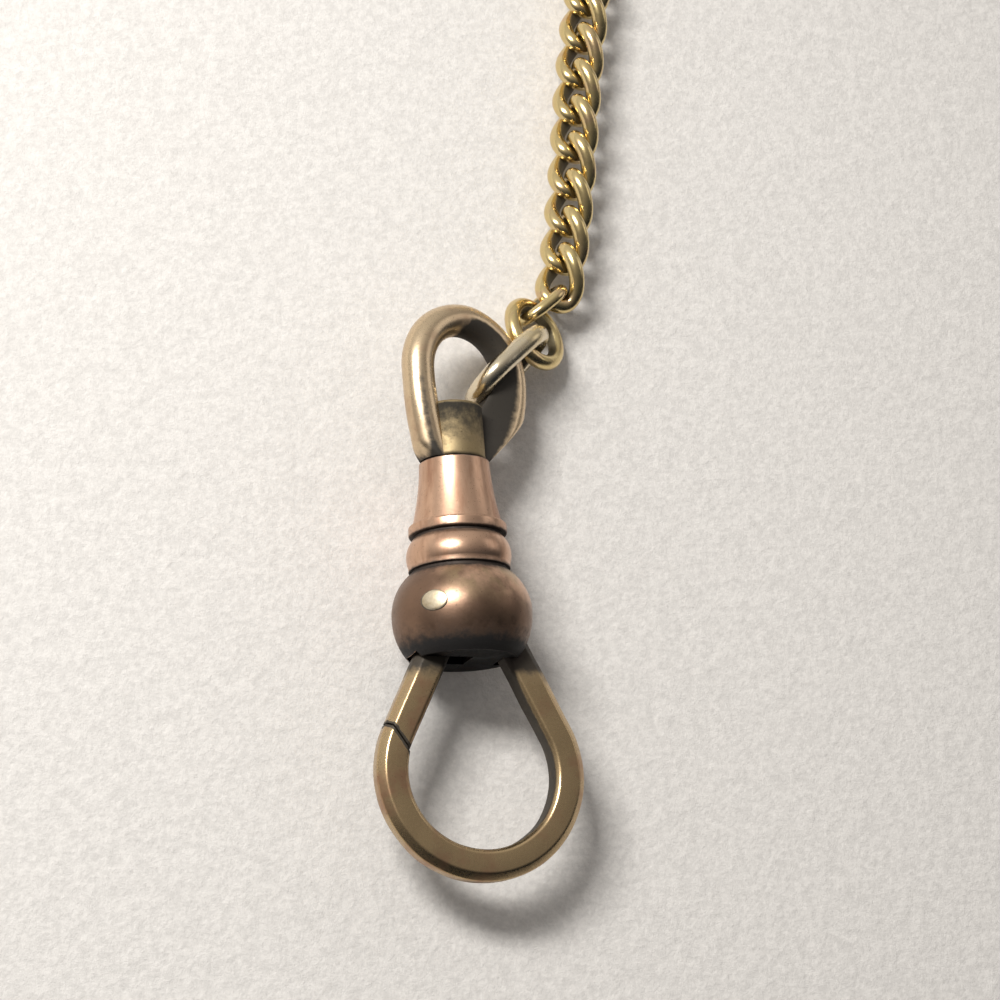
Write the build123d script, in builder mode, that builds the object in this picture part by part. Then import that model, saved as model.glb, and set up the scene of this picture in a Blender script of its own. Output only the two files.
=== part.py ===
from build123d import *
from math import atan2, copysign, cos, pi, radians, sin, sqrt
import os

# Watch-chain clasp: a hook with a sprung gate on a turned barrel, a swivel with
# a wire bow, two jump rings, an end link and a run of twisted curb chain.
# Frame: the hook lies in XY, +Y runs from the hook along the barrel to the
# chain, +Z is up. The origin is the centre of the hook's round bend.

# hook bar, bent round the origin
hook_inner_radius = 3.80
hook_bar_width = 1.60
hook_bar_thickness = 1.45
hook_outer_bevel = 0.38
hook_inner_bevel = 0.20
limb_lean = 26.0
limb_root_depth = 1.30
hook_reach = 8.00
hook_offset = 0.50

# gate, the left limb above the joint with the hook's tip
joint_gap = 0.10
joint_step = 0.30
joint_rise = 0.06
joint_slope = 30.0
gate_open_angle = 28.0

# pivot of the gate, off the barrel's axis and just above the ball's middle
pivot_offset = 2.30
pivot_rise = 0.10
pin_radius = 0.33
pin_head_radius = 0.52
pin_head_depth = 0.28
pin_head_proud = 0.07
eye_radius = 0.70
eye_neck_radius = 0.66
eye_thickness = 1.20
heel_half_width = 0.26
heel_height = 0.80
running_clearance = 0.03

# ball housing
ball_radius = 3.55
ball_top = 2.05
ball_top_radius = 2.62
ball_rim = 2.10
ball_rim_radius = 2.85
ball_bottom = 2.30
ball_wall = 0.34
floor_thickness = 0.42
slot_clearance = 0.14

# leaf spring over the gate's heel
spring_thickness = 0.18
spring_width = 1.10
spring_gap = 0.08
spring_bow = 0.22
spring_half_span = 2.05

# bead collar between the ball and the sleeve
collar_groove_radius = 2.42
collar_groove_height = 0.22
collar_lip_radius = 2.58
collar_lip_height = 0.26
bead_radius = 2.67
bead_height = 1.44
bead_crest = 0.48
neck_radius = 2.26
neck_height = 0.12

# cone sleeve
flange_radius = 2.50
flange_height = 0.52
flange_round = 0.15
cone_foot_radius = 2.30
cone_waist_radius = 1.96
cone_top_radius = 1.79
cone_height = 3.30

# swivel stem, its washer and its upset end
stem_radius = 0.80
stem_gap = 0.06
stem_head_radius = 1.62
stem_head_taper = 0.05
stem_head_height = 2.95
stem_head_round = 0.22
washer_radius = 1.32
washer_thickness = 0.20
upset_radius = 1.08
upset_height = 0.36
chamber_radius = 1.45
chamber_depth = 0.62

# bow, a pear-shaped loop of wire soldered to the stem's head
bow_wire_radius = 0.87
bow_bend_radius = 2.97
bow_shift = 0.97
bow_bend_height = 4.85
bow_foot_half_width = 1.15
bow_foot_drop = 0.30
bow_turn = 19.0

# long link through the bow, on edge and leaning
long_wire_radius = 0.52
long_half_length = 2.53
long_half_width = 1.63
long_heading = 47.6
long_fall = 4.7
long_lean = -10.5
long_place = (3.145, 21.690, -1.325)

# round jump ring
ring_wire_radius = 0.42
ring_bend_radius = 1.70
ring_heading = 64.8
ring_fall = 32.9
ring_place = (5.082, 23.950, -2.100)

# end link
end_wire_radius = 0.33
end_half_length = 1.47
end_half_width = 1.15
end_heading = 50.0
end_fall = -1.2
end_lean = 10.1
end_place = (5.597, 25.630, -2.391)

# curb links
link_wire_radius = 0.39
link_half_length = 1.58
link_half_width = 0.95
link_square_share = 2.5
link_twist = 55.0
link_pitch = 2.20
link_roll = 47.0
link_bends = 8
link_way_share = 0.002
curb_place = (6.801, 27.234, -2.150)
curb_headings = (11.1, 10.4, 8.8, 7.3, 7.1, 8.0, 9.0, 9.6, 9.8, 9.8, 9.8)

# derived places
bar_radius = hook_inner_radius + hook_bar_width / 2
half_bar = hook_bar_thickness / 2
overrun = ball_radius
ball = Plane(origin=(-hook_offset, hook_reach, 0), x_dir=(1, 0, 0), z_dir=(0, 0, 1))
swivel_axis = Axis((-hook_offset, hook_reach, 0), (0, 1, 0))
collar_top = ball_top + collar_groove_height + collar_lip_height + bead_height + neck_height
sleeve_top = collar_top + flange_height + cone_height
head_seat = sleeve_top + stem_gap
washer_seat = ball_top + chamber_depth


def ball_outline(grow):
    """The ball's half section, grown outward, from the axis up and round to the axis."""
    top = (ball_top_radius + grow, ball_top + grow)
    widest = (ball_radius + grow, 0)
    rim = (ball_rim_radius + grow, -ball_rim)
    foot = (ball_rim_radius - (ball_bottom - ball_rim) + grow, -ball_bottom - grow)
    TangentArc(widest, top, tangent=(0, 1))
    TangentArc(widest, rim, tangent=(0, -1))
    Polyline(rim, foot, (0, foot[1]), (0, top[1]), top)


def limb_path(side):
    """One leaning limb's centre line, from the round bend up to the ball."""
    lean = radians(limb_lean)
    foot = Vector(side * bar_radius * cos(lean), bar_radius * sin(lean))
    rise = hook_reach - ball_bottom + limb_root_depth - foot.Y
    return foot, foot + Vector(-side * rise * sin(lean) / cos(lean), rise)


right_foot, right_root = limb_path(1)
left_foot, left_root = limb_path(-1)


def bar_section(at, along):
    """The bar's section: a flat face above and below, bevelled more outside than inside."""
    outward = Vector(-along.Y, along.X)
    with BuildSketch(Plane(origin=at, x_dir=outward, z_dir=along)) as section:
        with BuildLine():
            inner, outer = -hook_bar_width / 2, hook_bar_width / 2
            Polyline((inner, half_bar - hook_inner_bevel), (inner + hook_inner_bevel, half_bar),
                     (outer - hook_outer_bevel, half_bar), (outer, half_bar - hook_outer_bevel),
                     (outer, hook_outer_bevel - half_bar), (outer - hook_outer_bevel, -half_bar),
                     (inner + hook_inner_bevel, -half_bar), (inner, hook_inner_bevel - half_bar),
                      close=True)
        make_face()
    return section.sketch


def joint_outline(shift):
    """The stepped, slanting joint between gate and hook, as a line moved along the limb."""
    lean = radians(limb_lean)
    up = Vector(sin(lean), cos(lean))
    out = Vector(-cos(lean), sin(lean))
    start = left_foot + up * (joint_rise + shift)
    step = start + out * (hook_bar_width / 2 - joint_step)
    fall = hook_bar_width - joint_step + overrun
    slope = radians(joint_slope)
    return start + out * overrun, step, step - out * fall - up * (fall * sin(slope) / cos(slope))


with BuildPart() as hook_frame:
    with BuildLine() as hook_line:
        Line(right_root, right_foot)
        ThreePointArc(right_foot, (0, -bar_radius), left_foot)
        Line(left_foot, left_foot + (left_root - left_foot) * joint_step)
    add(bar_section(right_root, Vector(right_foot - right_root).normalized()))
    sweep(path=hook_line.wire())
    outer_end, step_end, inner_end = joint_outline(-joint_gap / 2)
    with BuildSketch() as above_joint:
        with BuildLine():
            Polyline(outer_end, step_end, inner_end, (inner_end.X, right_root.Y),
                     (outer_end.X, right_root.Y), close=True)
        make_face()
    extrude(amount=hook_bar_thickness, both=True, mode=Mode.SUBTRACT)

pivot = Vector(-hook_offset - pivot_offset, hook_reach + pivot_rise)
with BuildPart() as gate_lever:
    with BuildLine() as gate_line:
        Line(left_foot - (left_root - left_foot) * joint_step, left_root)
    add(bar_section(gate_line.wire() @ 0, gate_line.wire() % 0))
    sweep(path=gate_line.wire())
    outer_end, step_end, inner_end = joint_outline(joint_gap / 2)
    with BuildSketch() as below_joint:
        with BuildLine():
            Polyline(outer_end, step_end, inner_end, (inner_end.X, -hook_reach),
                     (outer_end.X, -hook_reach), close=True)
        make_face()
    extrude(amount=hook_bar_thickness, both=True, mode=Mode.SUBTRACT)
    with BuildSketch() as eye:
        with Locations(pivot):
            Circle(eye_radius)
        with Locations(left_root - (left_root - left_foot).normalized() * hook_bar_width / 2):
            Circle(eye_neck_radius)
        make_hull()
        with Locations(pivot + Vector(0, heel_height / 2)):
            Rectangle(2 * heel_half_width, heel_height)
    extrude(amount=eye_thickness / 2, both=True)
    with BuildSketch() as eye_hole:
        with Locations(pivot):
            Circle(pin_radius + running_clearance)
    extrude(amount=hook_bar_thickness, both=True, mode=Mode.SUBTRACT)

with BuildPart() as gate_pin:
    with BuildSketch() as pin_section:
        with Locations(pivot):
            Circle(pin_radius)
    extrude(amount=overrun, both=True)
    for side in (1, -1):
        with BuildSketch(Plane.XY.offset(side * (sqrt(ball_radius**2 - pivot_offset**2) - pin_head_depth))):
            with Locations(pivot):
                Circle(pin_head_radius)
        extrude(amount=side * overrun)
    with BuildSketch(ball) as pin_limit:
        with BuildLine():
            ball_outline(pin_head_proud)
        make_face()
    revolve(axis=swivel_axis, mode=Mode.INTERSECT)


def barrel_disc(radius, start, end, mode=Mode.ADD):
    """A plain disc about the swivel axis, between two heights above the ball's middle."""
    with BuildSketch(ball) as disc:
        with Locations((0, start)):
            Rectangle(radius, end - start, align=(Align.MIN, Align.MIN))
    revolve(disc.sketch, axis=swivel_axis, mode=mode)


def limb_slots(amount):
    """Cuts the way of the gate, shut and open, and of the hook's limb through the ball's underside."""
    clear = hook_bar_width / 2 + slot_clearance
    with BuildSketch() as slots:
        for foot, root in ((left_foot, left_root), (right_foot, right_root)):
            with BuildLine():
                along = (root - foot).normalized()
                across = Vector(along.Y, -along.X) * clear
                Polyline(foot + across, foot - across, root - across, root + across, close=True)
            make_face()
        with BuildLine():
            along = (left_root - left_foot).normalized()
            across = Vector(along.Y, -along.X) * clear
            shut = (left_foot + across, left_foot - across, left_root - across, left_root + across)
            Polyline(*[pivot + (p - pivot).rotate(Axis.Z, gate_open_angle) for p in shut], close=True)
        make_face()
        with Locations(pivot - Vector(0, pivot_rise + ball_bottom)):
            Rectangle(hook_bar_width, 2 * floor_thickness)
    extrude(slots.sketch, amount=amount, both=True, mode=Mode.SUBTRACT)


with BuildPart() as ball_shell:
    with BuildSketch(ball) as ball_solid:
        with BuildLine():
            ball_outline(0)
        make_face()
    revolve(axis=swivel_axis)
    with BuildSketch(ball) as ball_hollow:
        with BuildLine():
            ball_outline(-ball_wall)
        make_face()
    revolve(axis=swivel_axis, mode=Mode.SUBTRACT)
    barrel_disc(ball_rim_radius - ball_wall, -ball_bottom - ball_wall, -ball_rim + floor_thickness,
                Mode.SUBTRACT)
    barrel_disc(chamber_radius, ball_top - 2 * ball_wall, ball_top + ball_wall, Mode.SUBTRACT)
    limb_slots(half_bar + slot_clearance)
    with BuildSketch() as pin_holes:
        with Locations(pivot):
            Circle(pin_radius)
    extrude(amount=overrun, both=True, mode=Mode.SUBTRACT)
    for side in (1, -1):
        with BuildSketch(Plane.XY.offset(side * (sqrt(ball_radius**2 - pivot_offset**2) - pin_head_depth))):
            with Locations(pivot):
                Circle(pin_head_radius)
        extrude(amount=side * overrun, mode=Mode.SUBTRACT)

with BuildPart() as ball_floor:
    barrel_disc(ball_rim_radius - ball_wall, -ball_bottom, -ball_bottom + floor_thickness)
    limb_slots(half_bar + slot_clearance)

spring_seat = pivot_rise + heel_height + spring_gap
with BuildPart() as gate_spring:
    with BuildSketch(ball) as leaf:
        with BuildLine():
            middle = ThreePointArc((-pivot_offset - heel_half_width, spring_seat),
                                   (-pivot_offset + heel_half_width, spring_seat),
                                   (-pivot_offset + spring_half_span, spring_seat + spring_bow))
            offset(middle, amount=spring_thickness, side=Side.LEFT)
        make_face()
    extrude(amount=spring_width / 2, both=True)

with BuildPart() as bead_collar:
    with BuildSketch(ball) as collar_section:
        with BuildLine():
            groove = ball_top + collar_groove_height
            lip = groove + collar_lip_height
            bead = lip + bead_height
            Polyline((0, ball_top), (collar_groove_radius, ball_top), (collar_groove_radius, groove),
                     (collar_lip_radius, groove), (collar_lip_radius, lip))
            ThreePointArc((collar_lip_radius, lip), (bead_radius, lip + bead_crest), (neck_radius, bead))
            Polyline((neck_radius, bead), (neck_radius, collar_top), (0, collar_top), (0, ball_top))
        make_face()
    revolve(axis=swivel_axis)
    barrel_disc(stem_radius + running_clearance, ball_top - overrun, collar_top + overrun, Mode.SUBTRACT)
    barrel_disc(chamber_radius, ball_top - overrun, washer_seat, Mode.SUBTRACT)

with BuildPart() as cone_sleeve:
    with BuildSketch(ball) as sleeve_section:
        with BuildLine():
            flange = collar_top + flange_height
            Polyline((0, flange), (0, collar_top), (flange_radius - flange_round, collar_top))
            flange_flat = flange_radius - flange_round
            TangentArc((flange_flat, collar_top), (flange_radius, collar_top + flange_round),
                       tangent=(1, 0))
            Line((flange_radius, collar_top + flange_round), (flange_radius, flange - flange_round))
            TangentArc((flange_radius, flange - flange_round), (flange_flat, flange), tangent=(0, 1))
            Line((flange_flat, flange), (cone_foot_radius, flange))
            ThreePointArc((cone_foot_radius, flange), (cone_waist_radius, flange + cone_height / 2),
                          (cone_top_radius, sleeve_top))
            Polyline((cone_top_radius, sleeve_top), (0, sleeve_top), (0, flange))
        make_face()
    revolve(axis=swivel_axis)
    barrel_disc(stem_radius + running_clearance, collar_top - overrun, sleeve_top + overrun, Mode.SUBTRACT)

upset_seat = washer_seat - running_clearance - washer_thickness
head_top = head_seat + stem_head_height
with BuildPart() as swivel_stem:
    with BuildSketch(ball) as head_section:
        with BuildLine():
            rim = (stem_head_radius - stem_head_taper, head_top - stem_head_round)
            flat = (rim[0] - stem_head_round, head_top)
            Polyline((0, head_top), (0, head_seat), (stem_head_radius, head_seat), rim)
            TangentArc(rim, flat, tangent=(0, 1))
            Line(flat, (0, head_top))
        make_face()
    revolve(axis=swivel_axis)
    barrel_disc(stem_radius, upset_seat, head_seat)
    barrel_disc(upset_radius, upset_seat - upset_height, upset_seat)

with BuildPart() as stem_washer:
    barrel_disc(washer_radius, upset_seat, upset_seat + washer_thickness)
    barrel_disc(stem_radius, upset_seat - overrun, upset_seat + overrun, Mode.SUBTRACT)


def leg_middle(shoulder, foot):
    """The middle of the arc that leaves the shoulder straight down and ends at the foot."""
    inward = foot[0] - shoulder[0]
    drop = shoulder[1] - foot[1]
    half_turn = atan2(abs(inward), drop)
    radius = drop / sin(2 * half_turn)
    sag = copysign(radius * (1 - cos(half_turn)), inward)
    return shoulder[0] + sag, shoulder[1] - radius * sin(half_turn)


bow_across = Vector(cos(radians(bow_turn)), 0, -sin(radians(bow_turn)))
bow_plane = Plane(origin=(-hook_offset, hook_reach + sleeve_top, 0), x_dir=bow_across,
                  z_dir=bow_across.cross(Vector(0, 1, 0)))
near_shoulder = (bow_shift - bow_bend_radius, bow_bend_height)
far_shoulder = (bow_shift + bow_bend_radius, bow_bend_height)
near_foot = (-bow_foot_half_width, -bow_foot_drop)
far_foot = (bow_foot_half_width, -bow_foot_drop)
with BuildPart() as bow:
    with BuildLine(bow_plane) as bow_line:
        ThreePointArc(near_foot, leg_middle(near_shoulder, near_foot), near_shoulder)
        ThreePointArc(near_shoulder, (bow_shift, bow_bend_height + bow_bend_radius), far_shoulder)
        ThreePointArc(far_shoulder, leg_middle(far_shoulder, far_foot), far_foot)
    bow_wire = bow_line.wire()
    with BuildSketch(Plane(origin=bow_wire @ 0, z_dir=bow_wire % 0)):
        Circle(bow_wire_radius)
    sweep(path=bow_wire)
    barrel_disc(bow_bend_radius, sleeve_top - overrun, head_seat, Mode.SUBTRACT)
    add(swivel_stem.part, mode=Mode.SUBTRACT)
    with BuildSketch(ball) as foot_flare:
        with BuildLine():
            Polyline((cone_top_radius, head_seat), (cone_top_radius + bow_bend_radius, head_seat),
                     (cone_top_radius + bow_bend_radius, head_seat + bow_bend_radius), close=True)
        make_face()
    revolve(axis=swivel_axis, mode=Mode.SUBTRACT)


def way(heading, fall=0.0):
    """The way along the chain: turned right of +Y, and falling below the horizontal."""
    level = cos(radians(fall))
    return Vector(sin(radians(heading)) * level, cos(radians(heading)) * level, -sin(radians(fall)))


def leaning(heading, fall, lean):
    """The side of a link that stands on edge, leant over about the link's length."""
    return way(heading + 90).rotate(Axis((0, 0, 0), way(heading, fall)), lean)


def oval_link(centre, along, side, half_length, half_width, wire_radius):
    """An oval of round wire about a centre, its length along one way and its flat facing another."""
    straight = half_length - half_width
    with BuildPart() as oval:
        with BuildLine(Plane(origin=centre, x_dir=along, z_dir=side)) as oval_line:
            if straight > 0:
                Line((0, -half_width), (straight, -half_width))
            ThreePointArc((straight, -half_width), (half_length, 0), (straight, half_width))
            if straight > 0:
                Line((straight, half_width), (-straight, half_width))
            ThreePointArc((-straight, half_width), (-half_length, 0), (-straight, -half_width))
            if straight > 0:
                Line((-straight, -half_width), (0, -half_width))
        wire = oval_line.wire()
        with BuildSketch(Plane(origin=wire @ 0, z_dir=wire % 0)):
            Circle(wire_radius)
        sweep(path=wire)
    return oval.part


# the long link stands on edge through the bow
long_along = way(long_heading, long_fall)
long_side = leaning(long_heading, long_fall, long_lean)
long_link = oval_link(Vector(*long_place), long_along, long_side, long_half_length,
                      long_half_width, long_wire_radius)

# the jump ring goes round the long link's end and falls away from the bow
ring_along = way(ring_heading, ring_fall)
ring_side = way(ring_heading + 90).cross(ring_along)
jump_ring = oval_link(Vector(*ring_place), ring_along, ring_side, ring_bend_radius,
                      ring_bend_radius, ring_wire_radius)

# the end link joins the ring to the first curb link
end_along = way(end_heading, end_fall)
end_side = leaning(end_heading, end_fall, end_lean)
end_link = oval_link(Vector(*end_place), end_along, end_side, end_half_length, end_half_width,
                     end_wire_radius)


def curb_point(share):
    """A point of the curb link's centre line, a squared oval twisted about its length."""
    turn = 2 * pi * share
    across = copysign(link_half_width * abs(cos(turn)) ** (2 / link_square_share), cos(turn))
    along = copysign(link_half_length * abs(sin(turn)) ** (2 / link_square_share), sin(turn))
    twist = radians(link_roll + link_twist * along / link_half_length)
    return Vector(across * cos(twist), along, across * sin(twist))


def curb_way(share):
    """The way of the curb link's centre line at a point."""
    return (curb_point(share + link_way_share) - curb_point(share - link_way_share)).normalized()


def bend_middle(start, corner, end):
    """The middle of the circular arc that leaves its start towards a corner and ends from it."""
    lean = (end - start).normalized().dot((corner - start).normalized())
    return (start + corner * (2 * lean) + end) / (2 + 2 * lean)


def arc_pair(start, start_way, end, end_way):
    """Two smoothly joined arcs between two points with given ways, as start, middle and end points."""
    span = end - start
    ways = start_way + end_way
    bend = 2 * (start_way.dot(end_way) - 1)
    reach = (span.dot(ways) - sqrt(span.dot(ways) ** 2 - bend * span.dot(span))) / bend
    first = start + start_way * reach
    second = end - end_way * reach
    join = (first + second) / 2
    return (start, bend_middle(start, first, join), join), (join, bend_middle(join, second, end), end)


with BuildPart() as curb_shape:
    for number in range(link_bends):
        start, end = number / link_bends, (number + 1) / link_bends
        for bend in arc_pair(curb_point(start), curb_way(start), curb_point(end), curb_way(end)):
            with BuildLine() as curb_arc:
                ThreePointArc(*[tuple(point) for point in bend])
            with BuildSketch(Plane(origin=curb_arc.wire() @ 0, z_dir=curb_arc.wire() % 0)):
                Circle(link_wire_radius)
            sweep(path=curb_arc.wire())

curb_links = {}
curb_centre = Vector(*curb_place)
for number, heading in enumerate(curb_headings, 1):
    if number > 1:
        curb_centre += way((heading + curb_headings[number - 2]) / 2) * link_pitch
    with BuildPart() as curb_link:
        with Locations(Plane(origin=curb_centre, x_dir=way(heading + 90), z_dir=(0, 0, 1))):
            add(curb_shape.part)
    curb_links[f"curb_link_{number:02d}"] = curb_link.part

pieces = {
    "hook_frame": hook_frame.part,
    "gate_lever": gate_lever.part,
    "gate_pin": gate_pin.part,
    "gate_spring": gate_spring.part,
    "ball_shell": ball_shell.part,
    "ball_floor": ball_floor.part,
    "bead_collar": bead_collar.part,
    "cone_sleeve": cone_sleeve.part,
    "swivel_stem": swivel_stem.part,
    "stem_washer": stem_washer.part,
    "bow": bow.part,
    "long_link": long_link,
    "jump_ring": jump_ring,
    "end_link": end_link,
    **curb_links,
}
os.makedirs("parts", exist_ok=True)
for name, piece in pieces.items():
    piece.label = name
    export_step(piece, f"parts/{name}.step")
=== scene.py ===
"""Dresses the watch-chain clasp: worn gold hook and barrel, wire bow, rings and twisted chain."""
from math import atan2, copysign, cos, exp, pi, radians, sin, sqrt

import bmesh
import bpy
from mathutils import Matrix, Vector, noise


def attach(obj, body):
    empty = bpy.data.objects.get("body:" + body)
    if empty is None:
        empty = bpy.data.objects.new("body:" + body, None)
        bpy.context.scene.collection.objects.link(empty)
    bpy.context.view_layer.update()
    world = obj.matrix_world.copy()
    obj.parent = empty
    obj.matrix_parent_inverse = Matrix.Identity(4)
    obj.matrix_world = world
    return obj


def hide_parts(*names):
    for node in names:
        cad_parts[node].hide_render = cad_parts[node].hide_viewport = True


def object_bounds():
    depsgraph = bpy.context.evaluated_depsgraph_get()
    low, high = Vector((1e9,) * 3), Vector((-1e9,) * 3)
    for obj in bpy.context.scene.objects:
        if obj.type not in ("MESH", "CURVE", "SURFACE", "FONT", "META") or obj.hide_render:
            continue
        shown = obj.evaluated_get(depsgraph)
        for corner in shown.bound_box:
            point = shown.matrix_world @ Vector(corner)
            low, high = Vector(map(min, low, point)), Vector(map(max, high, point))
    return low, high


bl_info = {
    "name": "Watch-chain clasp",
    "version": (1, 0, 0),
    "blender": (4, 5, 0),
    "location": "View3D > Sidebar > Clasp",
    "description": "Dresses a swivel clasp, its bow, rings and curb chain in worn gold",
    "category": "Object",
}

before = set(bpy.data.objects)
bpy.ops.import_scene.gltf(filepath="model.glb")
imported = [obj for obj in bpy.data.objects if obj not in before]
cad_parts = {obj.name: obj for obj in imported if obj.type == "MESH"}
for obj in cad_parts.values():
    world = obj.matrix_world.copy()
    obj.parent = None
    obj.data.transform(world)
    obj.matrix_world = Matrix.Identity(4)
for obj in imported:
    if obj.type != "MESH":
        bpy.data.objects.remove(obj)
cad_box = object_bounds()

MM = 0.001
UP = Vector((0, 0, 1))
ALONG = Vector((0, 1, 0))
FULL = 2 * pi
CREASE = radians(38)
BLUNT = radians(150)
NEAR = 1e-6

# The picture's width and the lens in pixels, where the ball's middle is seen, and the camera's distance
FRAME = 1000
FOCAL = 2800
BALL_SEEN = (461, 615)
DISTANCE = 0.140


def length(name, description, millimetres):
    """A length property, given in millimetres and kept in metres."""
    return bpy.props.FloatProperty(name=name, description=description, default=millimetres * MM,
                                   unit="LENGTH", precision=5)


def angle(name, description, degrees):
    """An angle property, given in degrees and kept in radians."""
    return bpy.props.FloatProperty(name=name, description=description, default=radians(degrees),
                                   subtype="ANGLE")


def position(name, description, *millimetres):
    """A place, given in millimetres and kept in metres."""
    return bpy.props.FloatVectorProperty(name=name, description=description, subtype="XYZ", unit="LENGTH",
                                         default=[value * MM for value in millimetres], precision=5)


def named(name):
    """A property group of this scene, by its short name."""
    return getattr(bpy.context.scene, "clasp_" + name)


def colour(name, description, red, green, blue):
    """A colour property."""
    return bpy.props.FloatVectorProperty(name=name, description=description, default=(red, green, blue),
                                         subtype="COLOR", min=0, max=1)


def amount(name, description, value):
    """A plain factor."""
    return bpy.props.FloatProperty(name=name, description=description, default=value)


class HookSizes(bpy.types.PropertyGroup):
    """Sizes of the hook and its gate."""
    inner_radius: length("Inner radius", "Inside of the round bend", 3.80)
    bar_width: length("Bar width", "Width of the bar across its flat face", 1.60)
    bar_thickness: length("Bar thickness", "Height of the bar off the table", 1.45)
    outer_bevel: length("Outer bevel", "Bevel along the hook's outside", 0.38)
    inner_bevel: length("Inner bevel", "Bevel along the hook's inside", 0.20)
    edge_round: length("Edge round", "Wear on the bar's edges", 0.09)
    lean: angle("Limb lean", "Lean of each limb towards the barrel", 26.0)
    reach: length("Reach", "From the bend's centre to the ball's centre", 8.00)
    offset: length("Offset", "Shift of the barrel to the gate's side", 0.50)
    root_depth: length("Root depth", "How far the limbs go into the ball", 1.30)
    joint_gap: length("Joint gap", "Gap between gate and hook", 0.10)
    joint_step: length("Joint step", "Width of the joint's outer step", 0.30)
    joint_rise: length("Joint rise", "Height of the joint above the bend", 0.06)
    joint_slope: angle("Joint slope", "Slant of the joint across the bar", 30.0)
    gate_open: angle("Gate open", "Turn of the gate when open", 28.0)
    pivot_offset: length("Pivot offset", "Pin's distance from the barrel's axis", 2.30)
    pivot_rise: length("Pivot rise", "Pin's height above the ball's middle", 0.10)
    pin_hole: length("Pin hole", "Radius of the hole for the pin", 0.36)
    pin_radius: length("Pin radius", "Radius of the pin's shank", 0.33)
    pin_reach: length("Pin reach", "Half the length of the pin's shank", 2.40)
    pin_head: length("Pin head", "Radius of the riveted head", 0.52)
    pin_proud: length("Pin head proud", "Height of the head over the ball", 0.07)
    eye_radius: length("Eye radius", "Radius of the gate's eye", 0.70)
    neck_radius: length("Neck radius", "Half width of the eye's neck", 0.66)
    eye_thickness: length("Eye thickness", "Height of the gate's eye", 1.20)
    heel_width: length("Heel width", "Width of the gate's heel", 0.52)
    heel_height: length("Heel height", "Reach of the heel over the pin", 0.80)
    slot_clearance: length("Slot clearance", "Room round each limb in the ball", 0.14)
    wave: length("Wave", "Width of the bar's unevenness", 1.60)
    wave_height: length("Wave height", "Height of the bar's unevenness", 0.03)
    # These two set where the bar's painted shade near the ball begins and how soon it fades.
    ball_shade_start: length("Grime start", "Where the dirt at the ball fades, from the ball's centre", 2.60)
    ball_shade_fade: length("Grime fade", "How soon the dirt at the ball fades", 0.75)
    joint_grime: length("Joint grime", "Width of the dirt beside the joint", 0.26)
    joint_black: length("Joint black", "Width of the black beside the joint", 0.12)


class BarrelSizes(bpy.types.PropertyGroup):
    """Sizes of the turned barrel and the swivel."""
    ball_radius: length("Ball radius", "Widest radius of the ball", 3.55)
    ball_top: length("Ball top", "Height of the ball above its middle", 2.05)
    ball_top_radius: length("Ball top radius", "Radius of the ball's flat top", 2.62)
    ball_rim: length("Ball rim", "Depth of the ball's lower rim", 2.10)
    ball_rim_radius: length("Ball rim radius", "Radius of the lower rim", 2.85)
    ball_bottom: length("Ball bottom", "Depth of the ball's underside", 2.30)
    ball_wall: length("Ball wall", "Thickness of the shell", 0.34)
    groove_radius: length("Groove radius", "Radius of the groove over the ball", 2.42)
    groove_height: length("Groove height", "Height of the groove", 0.22)
    lip_radius: length("Lip radius", "Radius of the bead's lower lip", 2.58)
    lip_height: length("Lip height", "Height of the bead's lower lip", 0.26)
    bead_radius: length("Bead radius", "Widest radius of the bead", 2.67)
    bead_height: length("Bead height", "Height of the bead", 1.44)
    bead_crest: length("Bead crest", "Height of the bead's widest place", 0.48)
    neck_radius: length("Neck radius", "Radius between bead and sleeve", 2.26)
    neck_height: length("Neck height", "Height between bead and sleeve", 0.12)
    flange_radius: length("Flange radius", "Radius of the sleeve's foot", 2.50)
    flange_height: length("Flange height", "Height of the sleeve's foot", 0.52)
    cone_foot: length("Cone foot", "Radius of the cone above the flange", 2.30)
    cone_waist: length("Cone waist", "Radius of the cone half-way", 1.96)
    cone_top: length("Cone top", "Radius of the cone's top", 1.79)
    cone_height: length("Cone height", "Height of the cone", 3.30)
    stem_radius: length("Stem radius", "Radius of the swivel's shank", 0.80)
    stem_gap: length("Stem gap", "Gap between the sleeve and the head", 0.06)
    head_radius: length("Head radius", "Radius of the swivel's head", 1.62)
    head_taper: length("Head taper", "Narrowing of the head", 0.05)
    head_height: length("Head height", "Height of the head", 2.95)
    head_round: length("Head round", "Rounding of the head's rim", 0.22)
    collar_round: length("Collar round", "Rounding of the collar's edges", 0.05)
    sleeve_round: length("Sleeve round", "Rounding of the sleeve's edges", 0.10)
    wave: length("Wave", "Width of the turned unevenness", 2.10)
    wave_height: length("Wave height", "Height of the turned unevenness", 0.02)


class BowSizes(bpy.types.PropertyGroup):
    """Sizes of the wire bow."""
    wire: length("Wire radius", "Radius of the bow's wire", 0.87)
    bend: length("Bend radius", "Radius of the bow's round top", 2.97)
    shift: length("Shift", "Shift of the bow off the barrel's axis", 0.97)
    height: length("Bend height", "Height of the bend's centre over the sleeve", 4.85)
    foot: length("Foot half width", "Half the distance between the feet", 1.15)
    drop: length("Foot drop", "How far the wire runs below the sleeve's top", 0.30)
    turn: angle("Turn", "Turn of the swivel away from level", 19.0)
    flare: amount("Flare", "How much thicker the wire is at its foot", 0.10)
    flare_fade: length("Flare fade", "How soon the foot's flare fades", 0.90)
    seat_gap: length("Seat gap", "Room under the wire's foot", 0.01)
    blend: length("Blend", "Softness of the foot's limit", 0.25)
    web_inset: length("Web inset", "How far the solder lies inside the head's radius", 0.10)
    web_blend: length("Web blend", "Softness of the solder's edge", 0.20)
    wave: length("Wave", "Width of the wire's unevenness", 1.90)
    wave_height: length("Wave height", "Height of the wire's unevenness", 0.035)


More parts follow.
